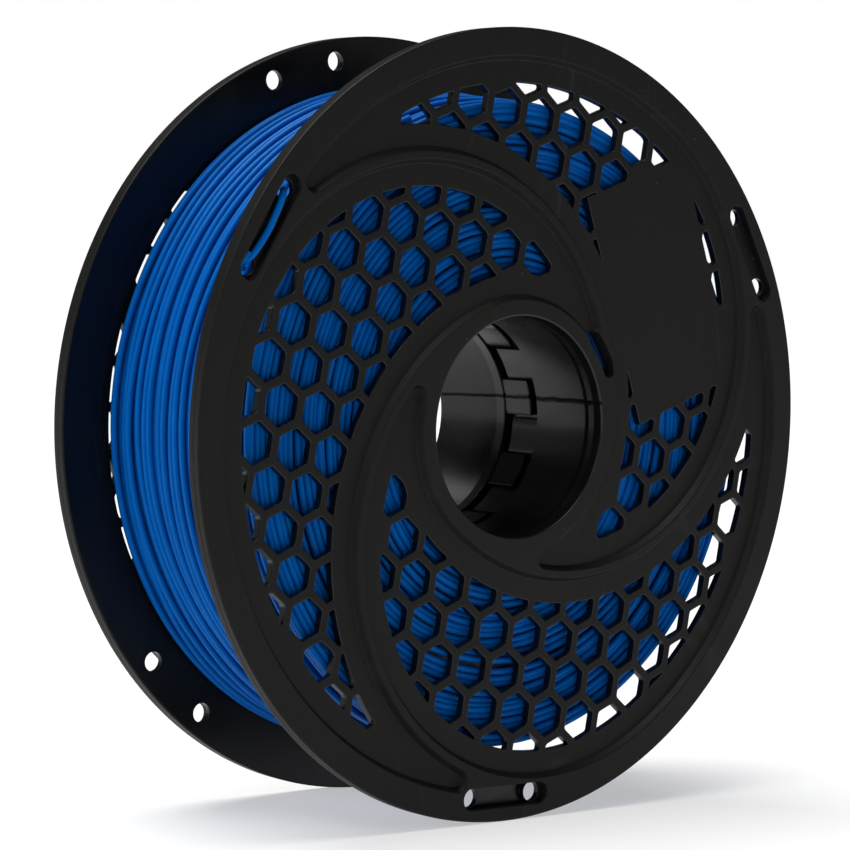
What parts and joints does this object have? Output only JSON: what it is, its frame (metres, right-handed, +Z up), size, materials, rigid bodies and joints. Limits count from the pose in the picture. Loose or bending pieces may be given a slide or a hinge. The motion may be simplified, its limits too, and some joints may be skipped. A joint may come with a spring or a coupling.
{
  "type": "filament spool",
  "caption": "Plastic filament spool with swirled honeycomb flanges and a plug-together hub, wound with filament whose free end is tied into a rim slot.",
  "frame": {"origin": "centre of the spool, midway between its two outer faces, on its axis", "axes": "+Y along the spool's axis from the front face (the one with the tied end) to the rear face; +Z up as it stands on its rims; +X to the right seen from the front"},
  "size_m": [0.2, 0.0606, 0.2],
  "materials": {
    "moulding": "fine satin grain",
    "filament": "satin"
  },
  "bodies": {
    "front": {"front_half": "moulding", "filament_winding": "filament", "filament_tail": "filament", "filament_start": "filament"},
    "rear": {"rear_half": "moulding"}
  },
  "joints": [
    {"name": "rear_half_slide", "type": "slide", "parent": "front", "child": "rear", "axis": [0, 1, 0], "range_m": [0, 0.015]}
  ]
}
